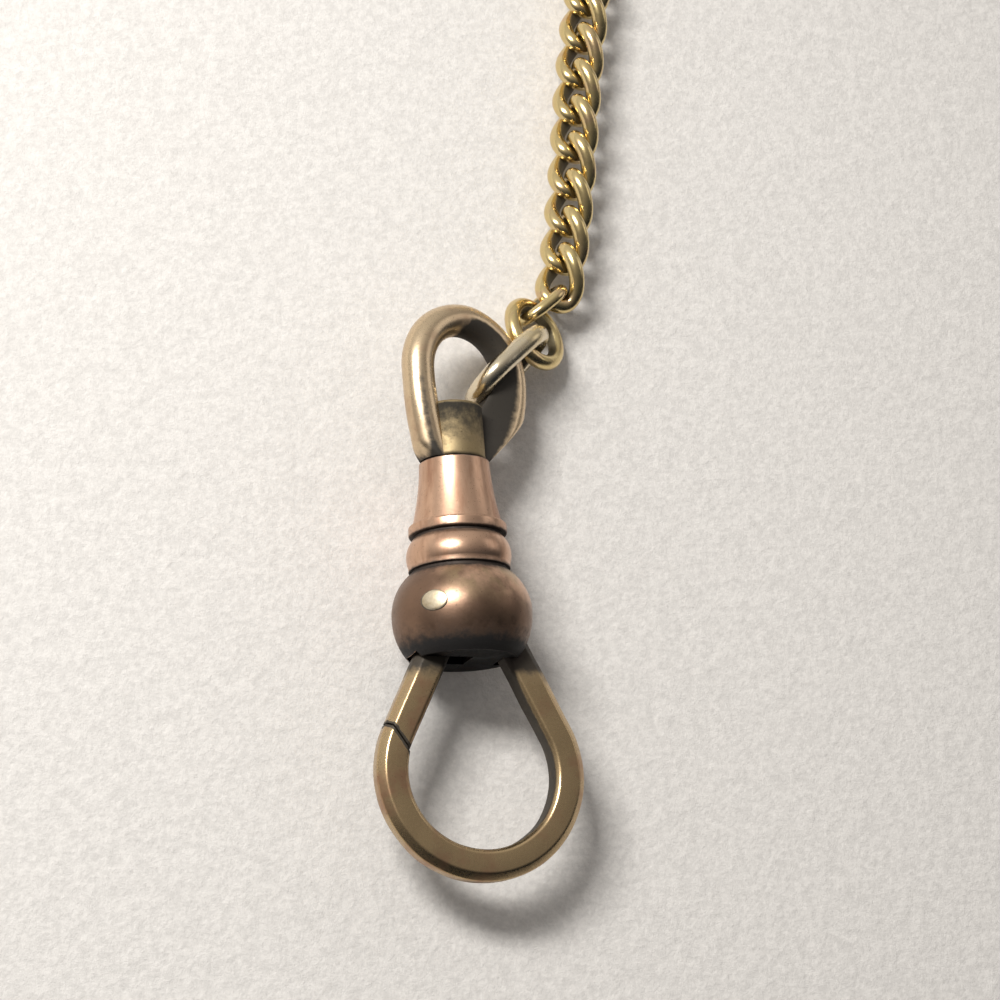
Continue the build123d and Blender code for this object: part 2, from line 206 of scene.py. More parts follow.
class LinkSizes(bpy.types.PropertyGroup):
    """Sizes and places of the rings and links."""
    long_wire: length("Long link wire", "Radius of the long link's wire", 0.53)
    long_length: length("Long link half length", "Centre to the end's centre line", 2.53)
    long_width: length("Long link half width", "Centre to the side's centre line", 1.63)
    long_heading: angle("Long link heading", "Turn right of the barrel", 47.6)
    long_fall: angle("Long link fall", "Fall towards the chain", 4.7)
    long_lean: angle("Long link lean", "Lean about its length", -10.5)
    long_place: position("Long link place", "Centre of the long link", 3.145, 21.690, -1.325)
    ring_wire: length("Ring wire", "Radius of the jump ring's wire", 0.42)
    ring_bend: length("Ring bend", "Radius of the jump ring", 1.70)
    ring_heading: angle("Ring heading", "Way in which the ring falls", 64.8)
    ring_fall: angle("Ring fall", "Slope of the ring", 32.9)
    ring_place: position("Ring place", "Centre of the ring", 5.082, 23.950, -2.100)
    end_wire: length("End link wire", "Radius of the end link's wire", 0.33)
    end_length: length("End link half length", "Centre to the end's centre line", 1.47)
    end_width: length("End link half width", "Centre to the side's centre line", 1.15)
    end_heading: angle("End link heading", "Turn right of the barrel", 50.0)
    end_fall: angle("End link fall", "Fall towards the chain", -1.2)
    end_lean: angle("End link lean", "Lean about its length", 10.1)
    end_place: position("End link place", "Centre of the end link", 5.597, 25.630, -2.391)
    curb_place: position("Curb place", "Centre of the first curb link", 6.801, 27.234, -2.150)
    wire: length("Curb wire", "Radius of the curb links' wire", 0.42)
    half_length: length("Curb half length", "Centre to the end's centre line", 1.58)
    half_width: length("Curb half width", "Centre to the side's centre line", 0.95)
    square: amount("Squareness", "Exponent of the curb link's outline", 2.5)
    twist: angle("Twist", "Twist of each half of a curb link", 55.0)
    roll: angle("Roll", "Roll of each curb link about the chain", 47.0)
    pitch: length("Pitch", "Distance from one curb link to the next", 2.20)
    uneven: length("Unevenness", "Height of the wires' unevenness", 0.05)
    headings: bpy.props.FloatVectorProperty(
        name="Headings", description="Turn of each curb link right of the barrel, in degrees", size=11,
        default=(11.1, 10.4, 8.8, 7.3, 7.1, 8.0, 9.0, 9.6, 9.8, 9.8, 9.8))


class Finish(bpy.types.PropertyGroup):
    """Colours of the worn gold."""
    hook: colour("Hook gold", "Flat faces of the hook", 0.50, 0.365, 0.205)
    patina: colour("Patina", "Brown patina of the ball", 0.20, 0.125, 0.085)
    rose: colour("Rose gold", "Sleeve and bead", 0.62, 0.40, 0.275)
    copper: colour("Copper", "Where the gold is thin", 0.36, 0.19, 0.12)
    bow: colour("Bow gold", "The bow's wire", 0.66, 0.51, 0.335)
    head: colour("Head brass", "Satin head of the swivel", 0.37, 0.285, 0.16)
    yellow: colour("Yellow gold", "Rings and chain", 0.70, 0.55, 0.27)
    pale: colour("Pale gold", "The long link and the rivet", 0.74, 0.64, 0.47)
    # This near-black colour is used both for the dark specks and for the painted shade in hollows, under
    # edges and between parts.
    grime: colour("Grime", "Dirt in the grooves", 0.013, 0.014, 0.015)
    paper: colour("Paper", "The floor", 0.80, 0.77, 0.735)


GROUPS = {"clasp_hook": HookSizes, "clasp_barrel": BarrelSizes, "clasp_bow": BowSizes,
          "clasp_links": LinkSizes, "clasp_finish": Finish}


# Mesh helpers

def finish_piece(name, mesh, material, body, nodes):
    """Links a mesh as a piece that rides on its body and stands for CAD nodes."""
    piece = bpy.data.objects.new(name, mesh)
    bpy.context.scene.collection.objects.link(piece)
    mesh.materials.clear()
    mesh.materials.append(material)
    mesh.polygons.foreach_set("use_smooth", [True] * len(mesh.polygons))
    mesh.set_sharp_from_angle(angle=CREASE)
    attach(piece, body)
    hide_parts(*nodes)
    return piece


def mesh_from(name, points, faces, shade_values=None):
    """A mesh with its normals out, and how much painted shade each point takes, as a point attribute."""
    mesh = bpy.data.meshes.new(name)
    mesh.from_pydata(points, [], faces)
    if shade_values is not None:
        layer = mesh.attributes.new("grime", "FLOAT", "POINT")
        layer.data.foreach_set("value", shade_values)
    work = bmesh.new()
    work.from_mesh(mesh)
    bmesh.ops.recalc_face_normals(work, faces=work.faces)
    work.to_mesh(mesh)
    work.free()
    return mesh


def rings_mesh(name, rings, grime):
    """Skins rings of points, capped at both ends."""
    count, around = len(rings), len(rings[0])
    points = [point for ring in rings for point in ring]
    faces = []
    for row in range(count - 1):
        low, high = row * around, (row + 1) * around
        for k in range(around):
            beside = (k + 1) % around
            faces.append((low + k, low + beside, high + beside, high + k))
    faces.append(tuple(range(around)))
    faces.append(tuple((count - 1) * around + k for k in range(around)))
    return mesh_from(name, points, faces, grime)


def carve(mesh, cutters):
    """The mesh with closed cutter meshes taken away."""
    body = bpy.data.objects.new("work", mesh)
    bpy.context.scene.collection.objects.link(body)
    tools = []
    for cutter in cutters:
        tool = bpy.data.objects.new("cutter", cutter)
        bpy.context.scene.collection.objects.link(tool)
        tools.append(tool)
        step = body.modifiers.new("cut", "BOOLEAN")
        step.operation = "DIFFERENCE"
        step.solver = "EXACT"
        step.object = tool
    graph = bpy.context.evaluated_depsgraph_get()
    result = bpy.data.meshes.new_from_object(body.evaluated_get(graph))
    for item in [body] + tools:
        bpy.data.objects.remove(item)
    return result


def circle(centre, radius, count=40):
    """An (x, y) outline of a circle."""
    turns = [FULL * k / count for k in range(count)]
    return [(centre.x + radius * cos(turn), centre.y + radius * sin(turn)) for turn in turns]


def prism(outline, low, high):
    """A closed prism over a flat outline of (x, y) points."""
    points = [Vector((x, y, z)) for z in (low, high) for x, y in outline]
    n = len(outline)
    faces = [tuple(range(n)), tuple(range(n, 2 * n))]
    faces += [(k, (k + 1) % n, n + (k + 1) % n, n + k) for k in range(n)]
    return mesh_from("prism", points, faces)


def rounded(profile, radius, steps=4):
    """A closed outline with each corner cut back and rounded."""
    result = []
    n = len(profile)
    for k in range(n):
        here = Vector(profile[k])
        before, after = Vector(profile[k - 1]) - here, Vector(profile[(k + 1) % n]) - here
        cut = min(radius, before.length * 0.4, after.length * 0.4)
        start, end = here + before.normalized() * cut, here + after.normalized() * cut
        for step in range(steps + 1):
            t = step / steps
            result.append((1 - t) ** 2 * start + 2 * t * (1 - t) * here + t * t * end)
    return result


def bumpy(point, scale, height):
    """A small unevenness at a point, in metres."""
    return noise.noise(point / scale) * height


# Material helpers

class Sock:
    """A shader socket that takes part in sums."""

    def __init__(self, maker, socket):
        self.maker = maker
        self.socket = socket

    def join(self, operation, other, swap=False):
        pair = (other, self) if swap else (self, other)
        return self.maker.node("ShaderNodeMath", {"operation": operation}, {0: pair[0], 1: pair[1]})

    def __add__(self, other):
        return self.join("ADD", other)

    __radd__ = __add__

    def __sub__(self, other):
        return self.join("SUBTRACT", other)

    def __rsub__(self, other):
        return self.join("SUBTRACT", other, True)

    def __mul__(self, other):
        return self.join("MULTIPLY", other)

    __rmul__ = __mul__

    def __pow__(self, other):
        return self.join("POWER", other)


class Tree:
    """Builds the nodes of one tree."""

    def __init__(self, tree):
        self.tree = tree

    def node(self, kind, settings=None, inputs=None, output=0):
        """Any node: its settings first, then the values or links of its sockets."""
        made = self.tree.nodes.new(kind)
        for key, value in (settings or {}).items():
            if key == "stops":
                self.ramp(made, value)
            else:
                setattr(made, key, value)
        for key, value in (inputs or {}).items():
            self.feed(made.inputs[key], value)
        return Sock(self, made.outputs[output])

    def ramp(self, made, stops):
        elements = made.color_ramp.elements
        while len(elements) < len(stops):
            elements.new(0.5)
        for element, (place, value) in zip(elements, stops):
            element.position = place
            element.color = (value, value, value, 1) if isinstance(value, float) else (*value, 1)

    def feed(self, socket, value):
        if isinstance(value, Sock):
            self.tree.links.new(value.socket, socket)
        elif socket.type == "RGBA" and len(value) == 3:
            socket.default_value = (*value, 1)
        else:
            socket.default_value = value

    def function(self, operation, *values, **settings):
        """A Math node of any kind."""
        return self.node("ShaderNodeMath", {"operation": operation, **settings}, dict(enumerate(values)))


class Maker(Tree):
    """Builds one material's nodes."""

    def __init__(self, name):
        self.material = bpy.data.materials.new(name)
        self.material.use_nodes = True
        super().__init__(self.material.node_tree)
        self.shader = self.tree.nodes["Principled BSDF"]

    def set(self, **values):
        for key, value in values.items():
            self.feed(self.shader.inputs[key.replace("_", " ")], value)

    def place(self, scale=(1, 1, 1), location=(0, 0, 0)):
        """Object coordinates, scaled per axis."""
        coordinates = self.node("ShaderNodeTexCoord", output="Object")
        return self.node("ShaderNodeMapping", {},
                         {"Vector": coordinates, "Scale": scale, "Location": location})

    def noise(self, scale, detail=4.0, rough=0.55, stretch=(1, 1, 1), shift=(0, 0, 0)):
        """A noise value about 0.5, with its scale in features per millimetre."""
        vector = self.place(tuple(s * scale / MM for s in stretch), shift)
        return self.node("ShaderNodeTexNoise", {},
                         {"Vector": vector, "Scale": 1.0, "Detail": detail, "Roughness": rough})

    def steps(self, value, low, high):
        """A smooth step from 0 at low to 1 at high."""
        return self.node("ShaderNodeMapRange", {"interpolation_type": "SMOOTHSTEP"},
                         {0: value, 1: low, 2: high})

    def blend(self, factor, first, second):
        """A mix of two colours."""
        mix = self.tree.nodes.new("ShaderNodeMix")
        mix.data_type = "RGBA"
        self.feed(mix.inputs["Factor"], factor)
        self.feed(mix.inputs[6], first)
        self.feed(mix.inputs[7], second)
        return Sock(self, mix.outputs[2])

    def attribute(self, name):
        return self.node("ShaderNodeAttribute", {"attribute_name": name}, output="Fac")

    def bump(self, height, distance):
        return self.node("ShaderNodeBump", {}, {"Height": height, "Distance": distance, "Strength": 1.0})


def joint_dirt(made, step):
    """Dirt on both sides of the stepped joint, by the distance from it."""
    hook = named("hook")
    tilt = (Vector((sin(hook.lean), cos(hook.lean), 0)), Vector((-cos(hook.lean), sin(hook.lean), 0)))
    rise, out = (made.node("ShaderNodeVectorMath", {"operation": "DOT_PRODUCT"}, {0: made.place(), 1: axis},
                           output="Value") - step.dot(axis) for axis in tilt)
    slant = made.function("MINIMUM", out, 0.0) * (sin(hook.joint_slope) / cos(hook.joint_slope))
    ragged = (made.noise(3.0, 3.0, 0.6, (1, 1, 1), (2.2, 6.1, 1.0)) - 0.5) * (0.16 * MM)
    near = made.steps(made.function("ABSOLUTE", rise - slant) + ragged, hook.joint_grime, hook.joint_black)
    return near * made.steps(out, -hook.bar_width * 1.5, -hook.bar_width)


def worn_metal(name, base, thin, patch, rough, scratch, stretch=(1, 1, 1), shade_and_dirt=0.8, patina=None,
               joint=None):
    """Worn gold: patches where the gold is thin, fine scratches, dark specks, and painted shade in the
    hollows.

    patch gives the patches' scale, edges and strength, and scratch the lines' scale, stretch and height.
    patina colours the ball's low and left side, and joint is where the hook's joint is dark and dirty.
    """
    finish = named("finish")
    made = Maker(name)
    cloud = made.noise(patch[0], 5.0, 0.6, stretch, (3.1, 1.7, 0.4))
    worn = made.steps(cloud, patch[1], patch[2])
    tone = made.blend(worn * patch[3], base, thin)
    if patina:
        hook = named("hook")
        parts = made.tree.nodes.new("ShaderNodeSeparateXYZ")
        made.feed(parts.inputs[0], made.place())
        x, y = (Sock(made, output) for output in parts.outputs[:2])
        edge = (made.noise(0.7, 4.0, 0.6, (1, 1, 1), (5.2, 0.3, 9.1)) - 0.5) * (2.4 * MM)
        low = made.steps(y + edge, hook.reach + 1.3 * MM, hook.reach - 0.2 * MM)
        left = made.steps(x + edge, -hook.offset - 0.9 * MM, -hook.offset - 2.5 * MM)
        olive = made.steps(made.noise(0.62, 4.0, 0.6, (1, 1, 1), (9.3, 4.4, 2.7)), 0.48, 0.62)
        tone = made.blend(olive * 0.55, tone, finish.head)
        tone = made.blend(made.function("MAXIMUM", low * 0.9, left * 0.95), tone, patina)
    specks = made.steps(made.noise(5.5, 3.0, 0.6, (1, 1, 1), (7.7, 2.0, 5.0)), 0.60, 0.76)
    tone = made.blend(specks * 0.35, tone, finish.grime)
    # The point attribute is painted shade in hollows, under edges and between parts; the joint's dark dirty
    # line is added to it, and the dirt argument sets how strongly both darken the gold.
    hollow = made.attribute("grime")
    if joint:
        hollow = hollow + joint_dirt(made, joint)
    ragged = made.steps(hollow + (made.noise(2.4, 4.0, 0.65) - 0.5) * 0.7, 0.18, 0.85)
    tone = made.blend(ragged * shade_and_dirt, tone, finish.grime)
    lines = made.noise(scratch[0], 2.0, 0.5, scratch[1])
    grain = made.noise(9.0, 3.0, 0.6)
    made.set(Base_Color=tone, Metallic=1.0 - ragged * 0.55,
             Roughness=rough + worn * 0.10 + ragged * 0.30 + (grain - 0.5) * 0.16 + specks * 0.15)
    made.set(Normal=made.bump(lines * 0.6 + grain * 0.4, scratch[2] * MM))
    return made.material


# Hook and gate

def limb(side):
    """Foot and root of one limb's centre line."""
    hook, barrel = named("hook"), named("barrel")
    radius = hook.inner_radius + hook.bar_width / 2
    foot = Vector((side * radius * cos(hook.lean), radius * sin(hook.lean), 0))
    rise = hook.reach - barrel.ball_bottom + hook.root_depth - foot.y
    return foot, foot + Vector((-side * rise * sin(hook.lean) / cos(hook.lean), rise, 0))


def bar_outline():
    """The bar's worn section: inward across, then up."""
    hook = named("hook")
    half, high = hook.bar_width / 2, hook.bar_thickness / 2
    inner, outer = hook.inner_bevel, hook.outer_bevel
    corners = [(half, high - inner), (half - inner, high), (outer - half, high), (-half, high - outer),
               (-half, outer - high), (outer - half, -high), (half - inner, -high), (half, inner - high)]
    return rounded(corners, hook.edge_round)


def bar_sweep(name, path, shade_at):
    """The bar swept along a level path, its inner side to the left of a clockwise run."""
    outline = bar_outline()
    hook = named("hook")
    rings, grime = [], []
    for k, point in enumerate(path):
        ahead = path[min(k + 1, len(path) - 1)] - path[max(k - 1, 0)]
        ahead.normalize()
        inward = Vector((ahead.y, -ahead.x, 0))
        ring = []
        for across, up in outline:
            place = point + inward * across + UP * up
            out = (inward * across + UP * up).normalized()
            place += out * (bumpy(place, hook.wave, hook.wave_height) - hook.wave_height / 2)
            ring.append(place)
            grime.append(shade_at(place, across / hook.bar_width, up / hook.bar_thickness))
        rings.append(ring)
    return rings_mesh(name, rings, grime)


def joint_line(shift):
    """The stepped, slanting joint, as a line moved along the limb."""
    hook, barrel = named("hook"), named("barrel")
    foot = limb(-1)[0]
    up = Vector((sin(hook.lean), cos(hook.lean), 0))
    out = Vector((-cos(hook.lean), sin(hook.lean), 0))
    start = foot + up * (hook.joint_rise + shift)
    step = start + out * (hook.bar_width / 2 - hook.joint_step)
    fall = hook.bar_width - hook.joint_step + barrel.ball_radius
    drop = fall * sin(hook.joint_slope) / cos(hook.joint_slope)
    return start + out * barrel.ball_radius, step, step - out * fall - up * drop


def pin_place():
    """The pin's centre."""
    hook = named("hook")
    return Vector((-hook.offset - hook.pivot_offset, hook.reach + hook.pivot_rise, 0))


def line_points(start, end, count):
    """Evenly spaced points of a straight line."""
    return [start.lerp(end, k / (count - 1)) for k in range(count)]


def joined(*meshes):
    """Several closed meshes as one."""
    work = bmesh.new()
    for mesh in meshes:
        work.from_mesh(mesh)
    result = bpy.data.meshes.new("joined")
    work.to_mesh(result)
    work.free()
    return result


def gate_eye():
    """The gate's eye round the pin, and its heel."""
    hook, pivot = named("hook"), pin_place()
    foot, root = limb(-1)
    neck = root - (root - foot).normalized() * hook.bar_width / 2
    work = bmesh.new()
    for centre, radius in ((pivot, hook.eye_radius), (neck, hook.neck_radius)):
        for x, y in circle(centre, radius, 48):
            for high in (-hook.eye_thickness / 2, hook.eye_thickness / 2):
                work.verts.new((x, y, high))
    bmesh.ops.convex_hull(work, input=work.verts)
    plate = bpy.data.meshes.new("eye")
    work.to_mesh(plate)
    work.free()
    side, top, high = hook.heel_width / 2, hook.heel_height, hook.eye_thickness / 2.02
    heel = prism([(pivot.x - side, pivot.y), (pivot.x + side, pivot.y), (pivot.x + side, pivot.y + top),
                  (pivot.x - side, pivot.y + top)], -high, high)
    hole = prism(circle(pivot, hook.pin_hole), -hook.bar_thickness, hook.bar_thickness)
    return carve(joined(plate, heel), [hole])


class CLASP_OT_hook(bpy.types.Operator):
    """Bends the hook's bevelled bar and its gate"""
    bl_idname = "clasp.hook"
    bl_label = "Hook and gate"

    def execute(self, context):
        hook, finish = named("hook"), named("finish")
        radius = hook.inner_radius + hook.bar_width / 2
        right_foot, right_root = limb(1)
        left_foot, left_root = limb(-1)
        start = atan2(right_foot.y, right_foot.x)
        bend = [Vector((radius * cos(start - t), radius * sin(start - t), 0))
                for t in [k / 128 * (pi + 2 * start) for k in range(129)]]
        over = left_foot.lerp(left_root, hook.joint_step / (1 * MM))
        path = line_points(right_root, right_foot, 40)[:-1] + bend + line_points(left_foot, over, 14)[1:]
        gold = worn_metal("hook_gold", finish.hook, finish.copper, (0.55, 0.46, 0.72, 0.75), 0.27,
                          (1.6, (1, 0.35, 1), 0.004), shade_and_dirt=0.92, joint=joint_line(0)[1])

        # Painted shade along the bar: darker near the ball, on the inner wall and on the underside.
        def bar_shade(place, across, up):
            near = exp(-max(0.0, hook.reach - hook.ball_shade_start - place.y) / hook.ball_shade_fade)
            inside = max(0.0, across - 0.44) / 0.06
            under = 0.5 if up < -0.45 else 0.0
            return min(1.0, near + 0.85 * inside + under)

        high = hook.bar_thickness
        outer, step, inner = joint_line(-hook.joint_gap / 2)
        above = prism([(outer.x, outer.y), (step.x, step.y), (inner.x, inner.y), (inner.x, right_root.y),
                       (outer.x, right_root.y)], -high, high)
        frame_mesh = carve(bar_sweep("hook_bar", path, bar_shade), [above])
        finish_piece("hook_bar", frame_mesh, gold, "housing", ["hook_frame"])

        outer, step, inner = joint_line(hook.joint_gap / 2)
        below = prism([(outer.x, outer.y), (step.x, step.y), (inner.x, inner.y), (inner.x, -hook.reach),
                       (outer.x, -hook.reach)], -high, high)
        under = left_foot.lerp(left_root, -hook.joint_step / (1 * MM))
        gate = carve(bar_sweep("gate_bar", line_points(under, left_root, 60), bar_shade), [below])
        finish_piece("gate_bar", joined(gate, gate_eye()), gold, "gate", ["gate_lever"])
        return {"FINISHED"}


# Turned barrel

def arc_points(start, crest, end, count):
    """Points of the circle through three profile points, ends included."""
    (ax, ay), (bx, by), (cx, cy) = start, crest, end
    d = 2 * (ax * (by - cy) + bx * (cy - ay) + cx * (ay - by))
    a2, b2, c2 = ax * ax + ay * ay, bx * bx + by * by, cx * cx + cy * cy
    ux = (a2 * (by - cy) + b2 * (cy - ay) + c2 * (ay - by)) / d
    uy = (a2 * (cx - bx) + b2 * (ax - cx) + c2 * (bx - ax)) / d
    radius = sqrt((ax - ux) ** 2 + (ay - uy) ** 2)
    first, middle, last = atan2(ay - uy, ax - ux), atan2(by - uy, bx - ux), atan2(cy - uy, cx - ux)
    turn = (last - first) % FULL
    if (middle - first) % FULL > turn:
        turn -= FULL
    return [(ux + radius * cos(first + turn * k / count), uy + radius * sin(first + turn * k / count))
            for k in range(count + 1)]


def shoulder(widest, end, count):
    """Points of the circle that leaves a widest place upright and reaches a narrower end."""
    inward, rise = widest[0] - end[0], end[1] - widest[1]
    radius = (inward ** 2 + rise ** 2) / (2 * inward)
    turn = atan2(abs(rise), radius - inward)
    turns = [turn * k / count for k in range(count + 1)]
    return [(widest[0] - radius + radius * cos(turn), widest[1] + copysign(radius * sin(turn), rise))
            for turn in turns]


def soften(profile, radius):
    """An open profile of (radius, height) points with its sharp corners rounded."""
    result = [Vector(profile[0])]
    for k in range(1, len(profile) - 1):
        here = Vector(profile[k])
        before, after = Vector(profile[k - 1]) - here, Vector(profile[k + 1]) - here
        if before.length < NEAR / 1000 or after.length < NEAR / 1000:
            continue
        if before.angle(after) > BLUNT:
            result.append(here)
            continue
        cut = min(radius, before.length * 0.45, after.length * 0.45)
        start, end = here + before.normalized() * cut, here + after.normalized() * cut
        for step in range(6):
            t = step / 5
            result.append((1 - t) ** 2 * start + 2 * t * (1 - t) * here + t * t * end)
    result.append(Vector(profile[-1]))
    return result


def turned(name, profile, shade_at, around=224, uneven=1.0):
    """A closed body turned about the barrel's axis, from a profile that starts and ends on the axis."""
    hook, barrel = named("hook"), named("barrel")
    high = barrel.wave_height * uneven
    centre = Vector((-hook.offset, hook.reach, 0))
    points, grime, faces, rows = [], [], [], []
    for radius, height in profile:
        if radius < NEAR:
            rows.append([len(points)])
            points.append(centre + ALONG * height)
            grime.append(shade_at(radius, height))
            continue
        row = []
        for k in range(around):
            turn = FULL * k / around
            out = Vector((cos(turn), 0, sin(turn)))
            place = centre + ALONG * height + out * radius
            place += out * (bumpy(place, barrel.wave, high) - high * 0.6)
            row.append(len(points))
            points.append(place)
            grime.append(shade_at(radius, height))
        rows.append(row)
    for low, high in zip(rows, rows[1:]):
        for k in range(around):
            beside = (k + 1) % around
            if len(low) == 1:
                faces.append((low[0], high[k], high[beside]))
            elif len(high) == 1:
                faces.append((low[k], low[beside], high[0]))
            else:
                faces.append((low[k], low[beside], high[beside], high[k]))
    return mesh_from(name, points, faces, grime)


def heights():
    """Heights of the collar's top, the sleeve's top and the head's seat over the ball's middle."""
    barrel = named("barrel")
    bead = barrel.ball_top + barrel.groove_height + barrel.lip_height + barrel.bead_height
    collar = bead + barrel.neck_height
    sleeve = collar + barrel.flange_height + barrel.cone_height
    return collar, sleeve, sleeve + barrel.stem_gap


def limb_prisms():
    """Cutters for the ways of the gate, shut and open, and of the fixed limb."""
    hook = named("hook")
    clear = hook.bar_width / 2 + hook.slot_clearance
    high = hook.bar_thickness / 2 + hook.slot_clearance
    pivot = pin_place()
    result = []
    for side in (-1, 1):
        foot, root = limb(side)
        ahead = (root - foot).normalized()
        across = Vector((ahead.y, -ahead.x, 0)) * clear
        corners = [foot + across, foot - across, root - across, root + across]
        result.append(prism([(p.x, p.y) for p in corners], -high, high))
        if side < 0:
            opened = [pivot + Matrix.Rotation(hook.gate_open, 3, "Z") @ (p - pivot) for p in corners]
            result.append(prism([(p.x, p.y) for p in opened], -high * 1.001, high * 1.001))
    return result


class CLASP_OT_barrel(bpy.types.Operator):
    """Turns the ball, the bead collar, the sleeve and the swivel's head"""
    bl_idname = "clasp.barrel"
    bl_label = "Barrel"

    def execute(self, context):
        barrel, finish = named("barrel"), named("finish")
        collar, sleeve, seat = heights()
        ball_gold = worn_metal("ball_gold", finish.rose, finish.patina, (0.55, 0.40, 0.62, 0.8), 0.33,
                               (1.2, (1, 1, 1), 0.006), shade_and_dirt=0.97, patina=finish.patina)
        rose = worn_metal("rose_gold", finish.rose, finish.copper, (0.9, 0.46, 0.66, 0.8), 0.30,
                          (3.0, (1, 0.12, 1), 0.003), (1, 0.18, 1), shade_and_dirt=0.92)
        brass = worn_metal("head_brass", finish.head, finish.grime, (1.1, 0.56, 0.85, 0.5), 0.56,
                           (4.0, (1, 0.2, 1), 0.006), shade_and_dirt=0.92)

        top = (barrel.ball_top_radius, barrel.ball_top)
        rim = (barrel.ball_rim_radius, -barrel.ball_rim)
        foot = (rim[0] - (barrel.ball_bottom - barrel.ball_rim), -barrel.ball_bottom)
        upper = shoulder((barrel.ball_radius, 0), top, 28)
        lower = shoulder((barrel.ball_radius, 0), rim, 28)
        outside = [(0, barrel.ball_top)] + upper[::-1] + lower[1:] + [foot, (0, foot[1])]
        inner = barrel.ball_radius - barrel.ball_wall
        roof = (barrel.ball_top_radius - barrel.ball_wall, barrel.ball_top - barrel.ball_wall)
        sill = (barrel.ball_rim_radius - barrel.ball_wall, -barrel.ball_rim)
        inside = shoulder((inner, 0), roof, 14)[::-1] + shoulder((inner, 0), sill, 14)[1:]
        inside = [(0, roof[1])] + inside + [(0, sill[1])]

        def ball_shade(radius, height):
            # Painted shade in the groove under the bead and on the ball's rim and underside.
            crown = exp(-(barrel.ball_top - height) / (0.30 * MM))
            base = exp(-max(0.0, height + barrel.ball_rim) / (0.85 * MM))
            return min(1.0, 0.8 * crown + 1.1 * base)

        cavity = turned("cavity", inside, ball_shade, 96, 0)
        ball = carve(turned("ball", outside, ball_shade), [cavity] + limb_prisms())
        finish_piece("ball", ball, ball_gold, "housing", ["ball_shell"])

        groove = barrel.ball_top + barrel.groove_height
        lip = groove + barrel.lip_height
        bead_top = lip + barrel.bead_height
        bead = arc_points((barrel.lip_radius, lip), (barrel.bead_radius, lip + barrel.bead_crest),
                          (barrel.neck_radius, bead_top), 32)
        profile = [(0, barrel.ball_top), (barrel.groove_radius, barrel.ball_top),
                   (barrel.groove_radius, groove), (barrel.lip_radius, groove)]
        profile += bead + [(barrel.neck_radius, collar), (0, collar)]

        def collar_shade(radius, height):
            # Painted shade in the groove under the bead and at its neck under the sleeve.
            low = exp(-max(0.0, height - groove) / (0.10 * MM))
            neck = exp(-max(0.0, bead_top - height) / (0.22 * MM))
            return min(1.0, low + 0.9 * neck)

        finish_piece("bead", turned("bead", soften(profile, barrel.collar_round), collar_shade), rose,
                     "housing", ["bead_collar"])

        flange = collar + barrel.flange_height
        cone = arc_points((barrel.cone_foot, flange), (barrel.cone_waist, flange + barrel.cone_height / 2),
                          (barrel.cone_top, sleeve), 36)
        profile = [(0, collar), (barrel.flange_radius, collar), (barrel.flange_radius, flange)]
        profile += cone + [(0, sleeve)]

        def cone_shade(radius, height):
            # Painted shade at the sleeve's foot, in the flange's inner step and at its top under the swivel's
            # head.
            low = exp(-max(0.0, height - collar) / (0.12 * MM))
            corner = 1.0 if radius < barrel.flange_radius * 0.97 else 0.35
            step = exp(-abs(height - flange) / (0.07 * MM)) * corner
            top_edge = exp(-max(0.0, sleeve - height) / (0.05 * MM))
            return min(1.0, 0.9 * low + 0.7 * step + top_edge)

        finish_piece("sleeve", turned("sleeve", soften(profile, barrel.sleeve_round), cone_shade), rose,
                     "housing", ["cone_sleeve"])

        head_top = seat + barrel.head_height
        low = 0.5 * barrel.ball_top
        shank = [Vector((0, low)), Vector((barrel.stem_radius, low)), Vector((barrel.stem_radius, seat))]
        head = [shank[-1], (barrel.head_radius, seat), (barrel.head_radius - barrel.head_taper, head_top),
                (0, head_top)]
        profile = shank + soften(head, barrel.head_round)[1:]

        def head_shade(radius, height):
            # Painted shade where the head sits on the sleeve, and a band of painted shade under its rounded
            # rim.
            edge = exp(-max(0.0, height - seat) / (0.12 * MM))
            rim_shade = exp(-((height - head_top + 0.25 * MM) / (0.16 * MM)) ** 2)
            return min(1.0, edge + 0.85 * rim_shade)

        finish_piece("swivel_head", turned("swivel_head", profile, head_shade, 160), brass,
                     "swivel", ["swivel_stem"])
        return {"FINISHED"}


# Bow

def limited(value, most, soft):
    """The smaller of a value and its limit, with a soft change between them."""
    gap = min(1.0, max(0.0, 0.5 + 0.5 * (most - value) / soft))
    return most * (1 - gap) + value * gap - soft * gap * (1 - gap)


